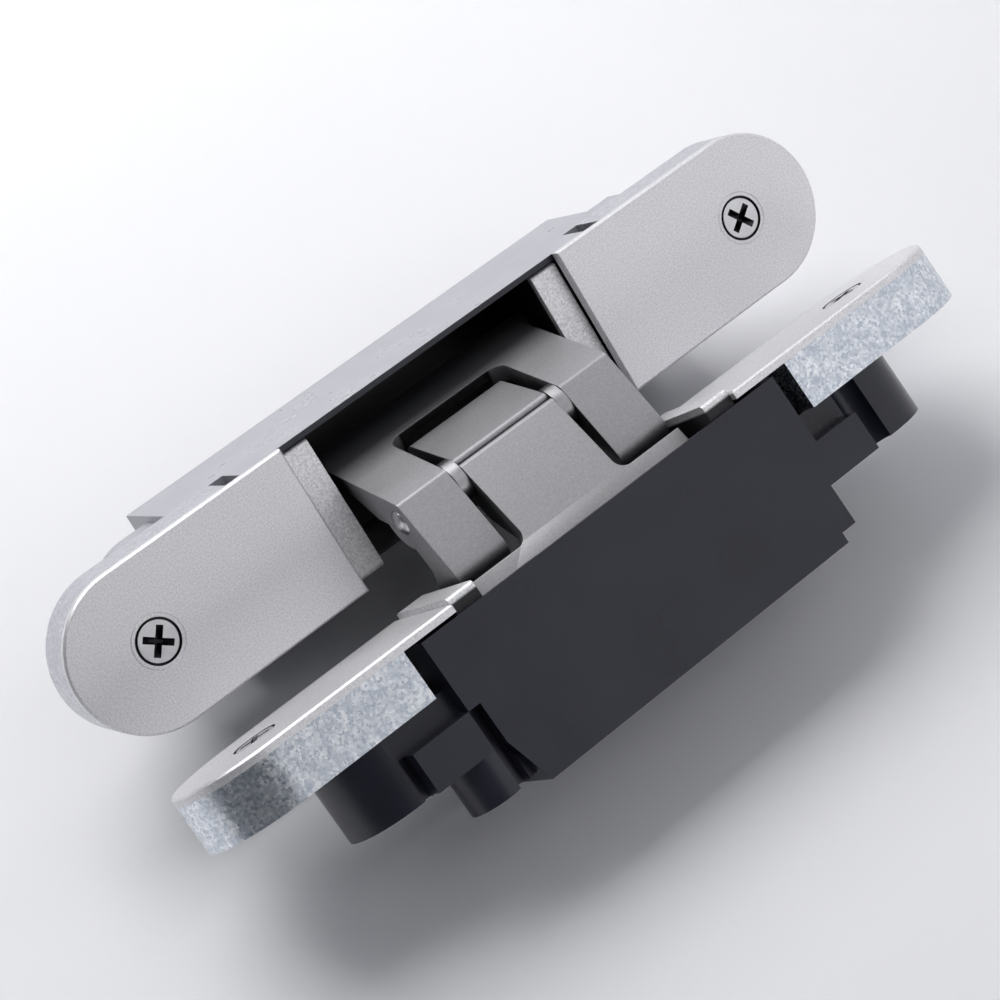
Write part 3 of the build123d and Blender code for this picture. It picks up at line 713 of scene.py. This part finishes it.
@dataclass
class CoverScrews:
    """The two cross-head screws of a leaf's covers, each in its sunk ring, with painted shade in the ring and
    the cross.
    """

    leaf: Leaf
    turns: tuple[float, float]
    head_radius: float = 3.5 * MM
    head_edge: float = 0.06 * MM
    head_depth: float = 0.04 * MM
    ring_radius: float = 3.94 * MM
    ring_depth: float = 0.55 * MM
    collar_radius: float = 4.57 * MM
    collar_depth: float = 0.38 * MM
    shank_radius: float = 1.95 * MM
    cone_depth: float = 2.75 * MM
    length: float = 9.6 * MM
    cross_reach: float = 2.65 * MM
    cross_half_width: float = 0.6 * MM
    cross_floor: float = 0.45
    cross_depth: float = 1.5 * MM
    segments: int = 64

    def loop(self, shape: Shape, points: list[tuple[float, float]], depth: float) -> Loop:
        """Add a closed loop of edges.

        Args:
            shape: The shape.
            points: Its corners.
            depth: How far it lies under the cover's face.

        Returns:
            The edges.
        """
        verts = [shape.verts.new((x, y, -depth)) for x, y in points]
        return [shape.edges.new((verts[i - 1], verts[i])) for i in range(len(verts))]

    def sink(self, shape: Shape, edges: Loop, scale: float, depth: float, finish: int) -> Loop:
        """Draw a loop out to another size and depth.

        Args:
            shape: The shape.
            edges: The loop.
            scale: Size of the new loop against the old one.
            depth: Its depth.
            finish: Number of the new faces' finish.

        Returns:
            The new loop's edges.
        """
        made = bmesh.ops.extrude_edge_only(shape, edges=edges)["geom"]
        verts = [item for item in made if isinstance(item, bmesh.types.BMVert)]
        bmesh.ops.scale(shape, vec=(scale, scale, 1.0), verts=verts)
        for vert in verts:
            vert.co.z = -depth
        for face in (item for item in made if isinstance(item, bmesh.types.BMFace)):
            face.material_index = finish
        ends = set(verts)
        return [item for item in made if isinstance(item, bmesh.types.BMEdge) and set(item.verts) <= ends]

    def screw(self, turn: float) -> Shape:
        """Shape one screw about its own axis.

        Args:
            turn: Angle of the cross in the face.

        Returns:
            The shape.
        """
        shape = bmesh.new()
        steps = [2 * math.pi * i / self.segments for i in range(self.segments)]
        radius = self.head_radius - self.head_edge
        rim = self.loop(shape, [(radius * math.cos(a), radius * math.sin(a)) for a in steps], self.head_depth)
        wide, slim = self.cross_reach, self.cross_half_width
        arm = [Vector((wide, -slim)), Vector((wide, slim)), Vector((slim, slim))]
        outline = [Matrix.Rotation(turn + math.pi / 2 * k, 2) @ corner for k in range(4) for corner in arm]
        cross = self.loop(shape, [tuple(corner) for corner in outline], self.head_depth)
        bmesh.ops.triangle_fill(shape, use_beauty=True, edges=rim + cross)
        # The cross recess's walls and floor are painted dark as shade.
        floor = self.sink(shape, cross, self.cross_floor, self.cross_depth, Finish.DARK.value)
        for face in bmesh.ops.edgeloop_fill(shape, edges=floor)["faces"]:
            face.material_index = Finish.DARK.value
        profile = (
            (self.head_radius, self.head_depth + self.head_edge, Finish.HEAD),
            # The ring round the head is painted dark as shade.
            (self.head_radius, self.ring_depth, Finish.DARK),
            (self.ring_radius, self.ring_depth, Finish.DARK),
            (self.ring_radius, 0.0, Finish.DARK),
            (self.collar_radius, 0.0, Finish.COLLAR),
            (self.collar_radius, self.collar_depth, Finish.COLLAR),
            (self.shank_radius, self.cone_depth, Finish.HEAD),
            (self.shank_radius, self.length, Finish.HEAD),
        )
        for wider, depth, finish in profile:
            rim = self.sink(shape, rim, wider / radius, depth, finish.value)
            radius = wider
        bmesh.ops.edgeloop_fill(shape, edges=rim)
        bmesh.ops.recalc_face_normals(shape, faces=shape.faces)
        return shape

    def build(self, face: LeafFace, finishes: "Finishes") -> None:
        """Build the leaf's cover screws in place of the plain ones.

        Args:
            face: The leaf's face.
            finishes: The materials.
        """
        whole = bmesh.new()
        for sign, turn in zip((1, -1), self.turns):
            shape = self.screw(turn)
            place = face.outward * face.level + face.side * face.middle + UP * sign * face.screw_station
            axes = Matrix((-face.side, UP, face.outward)).transposed().to_4x4()
            bmesh.ops.transform(shape, matrix=Matrix.Translation(place) @ axes, verts=shape.verts)
            mesh = bpy.data.meshes.new("screw")
            shape.to_mesh(mesh)
            shape.free()
            whole.from_mesh(mesh)
            bpy.data.meshes.remove(mesh)
        materials = [finishes.screw, finishes.recess, finishes.cover]
        piece = new_piece(f"{self.leaf.value}_screw_heads", whole, materials, f"{self.leaf.value}_leaf")
        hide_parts(f"{self.leaf.value}_cover_screws")


@dataclass
class SoftArm:
    """An arm whose outer edges are broken as on the casting."""

    node: str
    body: str
    edge_width: float = 0.22 * MM
    sharp_angle: float = math.radians(34)
    flat_angle: float = math.radians(0.6)
    merge_distance: float = 0.001 * MM

    def build(self, material: bpy.types.Material) -> None:
        """Build the arm in place of the plain one.

        Args:
            material: Its finish.
        """
        shape = bmesh.new()
        shape.from_mesh(frame["nodes"][self.node].data)
        bmesh.ops.remove_doubles(shape, verts=shape.verts, dist=self.merge_distance)
        bmesh.ops.dissolve_limit(
            shape,
            angle_limit=self.flat_angle,
            verts=shape.verts,
            edges=shape.edges,
        )
        sharp = [edge for edge in shape.edges if edge.calc_face_angle(0.0) > self.sharp_angle]
        edges = [edge for edge in sharp if edge.is_convex]
        bmesh.ops.bevel(
            shape,
            geom=edges,
            offset=self.edge_width,
            offset_type="OFFSET",
            segments=2,
            profile=0.5,
            affect="EDGES",
            clamp_overlap=True,
            material=-1,
        )
        for face in shape.faces:
            face.material_index = 0
        piece = new_piece(f"{self.node}_soft", shape, [material], self.body)
        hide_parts(self.node)


def dress(node: str, material: bpy.types.Material) -> None:
    """Give a CAD node its material.

    Args:
        node: Name of the node.
        material: Its finish.
    """
    obj = frame["nodes"][node]
    obj.data.materials.clear()
    obj.data.materials.append(material)
    LOG.info("dressed %s in %s", node, material.name)


@dataclass
class LeafPieces:
    """One leaf: blocks, covers, case, carrier and their fasteners."""

    leaf: Leaf
    ends: tuple[str, str] = ("upper", "lower")

    def node(self, part: str) -> str:
        """Return a node's full name."""
        return f"{self.leaf.value}_{part}"

    def build(self, face: LeafFace, finishes: Finishes) -> None:
        """Dress the leaf's nodes and build its screws.

        Args:
            face: The leaf's face.
            finishes: The materials.
        """
        for end in self.ends:
            dress(self.node(f"{end}_block"), finishes.zinc[self.leaf])
            dress(self.node(f"{end}_cover"), finishes.cover)
        dress(self.node("case"), finishes.case[self.leaf])
        dress(self.node("carrier"), finishes.carrier[self.leaf])
        CoverScrews(self.leaf, SCREW_TURNS[self.leaf]).build(face, finishes)
        dress(self.node("clamp_screws"), finishes.dark)
        dress(self.node("jack_screws"), finishes.dark)
        dress(self.node("pivot_pin"), finishes.bright)


@dataclass
class ArmPieces:
    """The two arms with their pins, washers and rollers."""

    arms: tuple[tuple[str, str], ...] = (("fork_arm", "fork"), ("tongue_arm", "tongue"))
    bright_nodes: tuple[str, ...] = ("centre_pin", "frame_guide_pin", "door_guide_pin")
    plastic_nodes: tuple[str, ...] = (
        "frame_pivot_spacers",
        "door_pivot_spacer",
        "door_pivot_washers",
        "frame_guide_rollers",
        "door_guide_rollers",
        "frame_guide_spacers",
        "door_guide_spacers",
    )

    def build(self, finishes: Finishes) -> None:
        """Dress the arms and what rides on them.

        Args:
            finishes: The materials.
        """
        for node, body in self.arms:
            SoftArm(node, body).build(finishes.arm)
        for node in self.bright_nodes:
            dress(node, finishes.bright)
        for node in self.plastic_nodes:
            dress(node, finishes.plastic)
        dress("centre_washers", finishes.washer)


@dataclass(frozen=True)
class Lamp:
    """One large soft lamp; its size is its width and its upright height."""

    name: str
    place: Vector
    aim: Vector
    size: tuple[float, float]
    power: float

    def build(self) -> None:
        """Hang the lamp in the scene."""
        data = bpy.data.lights.new(self.name, "AREA")
        data.shape = "RECTANGLE"
        data.size, data.size_y = self.size
        data.energy = self.power
        lamp = bpy.data.objects.new(self.name, data)
        lamp.location = self.place
        lamp.rotation_mode = "QUATERNION"
        lamp.rotation_quaternion = (self.aim - self.place).to_track_quat("-Z", "Y")
        bpy.context.scene.collection.objects.link(lamp)


FIXED_LAMPS = (
    Lamp("low_side", Vector((-0.40, -0.51, -0.12)), Vector((0.0, 0.0, 0.0)), (0.34, 0.30), 0.80),
    Lamp("front_low", Vector((-0.01, -0.54, -0.38)), Vector((-0.03, -0.03, -0.06)), (0.10, 0.18), 0.14),
    Lamp("upper_front", Vector((0.22, -0.52, -0.04)), Vector((0.0, 0.0, 0.0)), (0.12, 0.30), 0.08),
)


@dataclass
class Studio:
    """Pale table, floor, soft lamps and the camera at the photo's viewing angle."""

    camera_place: Vector = field(default_factory=lambda: Vector((93.729, -416.237, 163.958)) * MM)
    camera_target: Vector = field(default_factory=lambda: Vector((-14.205, -2.515, 3.065)) * MM)
    camera_roll: float = math.radians(-126.6976)
    lens: float = 98.564
    sensor_width: float = 36.0
    clip_start: float = 0.01
    clip_end: float = 20.0
    table_corner: Vector = field(default_factory=lambda: Vector((-13.9, 31.4, 0.0)) * MM)
    table_far_corner: Vector = field(default_factory=lambda: Vector((-50.8, -8.35, 0.0)) * MM)
    table_gap: float = 0.3 * MM
    table_size: float = 1.6
    table_colour: Colour = (0.90, 0.90, 0.92)
    table_glow: float = 0.0
    floor_height: float = -0.175
    floor_size: float = 3.0
    floor_colour: Colour = (0.80, 0.80, 0.82)
    floor_glow: float = 0.6
    glow_colour: Colour = (0.97, 0.97, 1.0)
    key_aim: Vector = field(default_factory=lambda: Vector((-0.015, 0.0, 0.0)))
    key_side: Vector = field(default_factory=lambda: Vector((0.945, 0.299, 0.135)))
    key_height: float = 0.56
    key_reach: float = 0.42
    key_size: tuple[float, float] = (0.50, 0.50)
    key_power: float = 4.2
    world_light: Colour = (0.90, 0.93, 1.0)
    world_strength: float = 0.14
    world_seen: Colour = (0.96, 0.96, 0.98)

    def pale(self, name: str, colour: Colour, glow: float) -> bpy.types.Material:
        """Make a pale stage material that lets everything through from its back.

        Args:
            name: Name of the material.
            colour: Diffuse colour.
            glow: Share of plain white that camera and reflection rays see.

        Returns:
            The material.
        """
        s = Shading(name)
        diffuse = s.add("ShaderNodeBsdfDiffuse")
        diffuse.inputs["Color"].default_value = (*colour, 1.0)
        white = s.add("ShaderNodeEmission")
        white.inputs["Color"].default_value = (*self.glow_colour, 1.0)
        white.inputs["Strength"].default_value = 1.0
        path = s.add("ShaderNodeLightPath").outputs
        direct = s.pair("MAXIMUM", path["Is Camera Ray"], path["Is Glossy Ray"])
        seen = s.pair("MAXIMUM", direct, path["Is Transmission Ray"])
        lit = s.layer(s.math("MULTIPLY", seen, glow), diffuse.outputs[0], white.outputs[0])
        back = s.add("ShaderNodeNewGeometry").outputs["Backfacing"]
        clear = s.add("ShaderNodeBsdfTransparent").outputs[0]
        open_side = s.pair("MAXIMUM", back, path["Is Shadow Ray"])
        s.join(s.layer(open_side, lit, clear), s.output.inputs["Surface"])
        s.tree.nodes.remove(s.shader)
        return s.material

    def sheet(self, name: str, centre: Vector, normal: Vector, size: float) -> bpy.types.Object:
        """Make a flat square stage sheet.

        Args:
            name: Name of the object.
            centre: Its middle.
            normal: The side that is seen.
            size: Length of its sides.

        Returns:
            The object.
        """
        mesh = bpy.data.meshes.new(name)
        shape = bmesh.new()
        bmesh.ops.create_grid(shape, x_segments=1, y_segments=1, size=size / 2)
        turn = UP.rotation_difference(normal).to_matrix().to_4x4()
        bmesh.ops.transform(shape, matrix=Matrix.Translation(centre) @ turn, verts=shape.verts)
        shape.to_mesh(mesh)
        shape.free()
        obj = bpy.data.objects.new(name, mesh)
        bpy.context.scene.collection.objects.link(obj)
        return obj

    def world(self) -> None:
        """Set white surroundings, dimmer as a light than as a background."""
        world = bpy.data.worlds.new("surroundings")
        bpy.context.scene.world = world
        world.use_nodes = True
        tree = world.node_tree
        tree.nodes.clear()
        output = tree.nodes.new("ShaderNodeOutputWorld")
        light = tree.nodes.new("ShaderNodeBackground")
        light.inputs["Color"].default_value = (*self.world_light, 1.0)
        light.inputs["Strength"].default_value = self.world_strength
        seen = tree.nodes.new("ShaderNodeBackground")
        seen.inputs["Color"].default_value = (*self.world_seen, 1.0)
        seen.inputs["Strength"].default_value = 1.0
        path = tree.nodes.new("ShaderNodeLightPath")
        mix = tree.nodes.new("ShaderNodeMixShader")
        tree.links.new(path.outputs["Is Camera Ray"], mix.inputs["Fac"])
        tree.links.new(light.outputs[0], mix.inputs[1])
        tree.links.new(seen.outputs[0], mix.inputs[2])
        tree.links.new(mix.outputs[0], output.inputs["Surface"])

    def camera(self) -> None:
        """Place the camera."""
        data = bpy.data.cameras.new("camera")
        data.lens = self.lens
        data.sensor_width = self.sensor_width
        data.clip_start = self.clip_start
        data.clip_end = self.clip_end
        camera = bpy.data.objects.new("camera", data)
        look = (self.camera_target - self.camera_place).normalized()
        right = look.cross(UP).normalized()
        up = right.cross(look)
        rolled_right = right * math.cos(self.camera_roll) + up * math.sin(self.camera_roll)
        rolled_up = -right * math.sin(self.camera_roll) + up * math.cos(self.camera_roll)
        axes = Matrix((rolled_right, rolled_up, -look)).transposed()
        camera.matrix_world = Matrix.Translation(self.camera_place) @ axes.to_4x4()
        bpy.context.scene.collection.objects.link(camera)
        bpy.context.scene.camera = camera

    def key_lamp(self, normal: Vector) -> Lamp:
        """Place the key lamp over the table.

        Args:
            normal: The table's normal.

        Returns:
            The lamp.
        """
        side = (self.key_side - normal * self.key_side.dot(normal)).normalized()
        place = self.key_aim + normal * self.key_height + side * self.key_reach
        return Lamp("key", place, self.key_aim, self.key_size, self.key_power)

    def build(self) -> None:
        """Set up the whole stage."""
        bpy.context.scene.view_settings.view_transform = "Standard"
        along = (self.table_far_corner - self.table_corner).normalized()
        normal = along.cross(UP).normalized()
        if normal.dot(self.camera_place - self.table_corner) < 0:
            normal = -normal
        middle = (self.table_corner + self.table_far_corner) / 2 - normal * self.table_gap
        table = self.sheet("table", middle, normal, self.table_size)
        table.data.materials.append(self.pale("table_white", self.table_colour, self.table_glow))
        floor = self.sheet("floor", UP * self.floor_height, UP, self.floor_size)
        floor.data.materials.append(self.pale("floor_white", self.floor_colour, self.floor_glow))
        for lamp in (self.key_lamp(normal), *FIXED_LAMPS):
            lamp.build()
        self.world()
        self.camera()


def main() -> None:
    """Dress the hinge and set the stage."""
    logging.basicConfig(level=logging.INFO, format="%(name)s: %(message)s")
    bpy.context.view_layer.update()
    faces = {leaf: LeafFace.of(leaf) for leaf in Leaf}
    finishes = Finishes(faces)
    for leaf, face in faces.items():
        LeafPieces(leaf).build(face, finishes)
    ArmPieces().build(finishes)
    Studio().build()


if __name__ == "__main__":
    main()
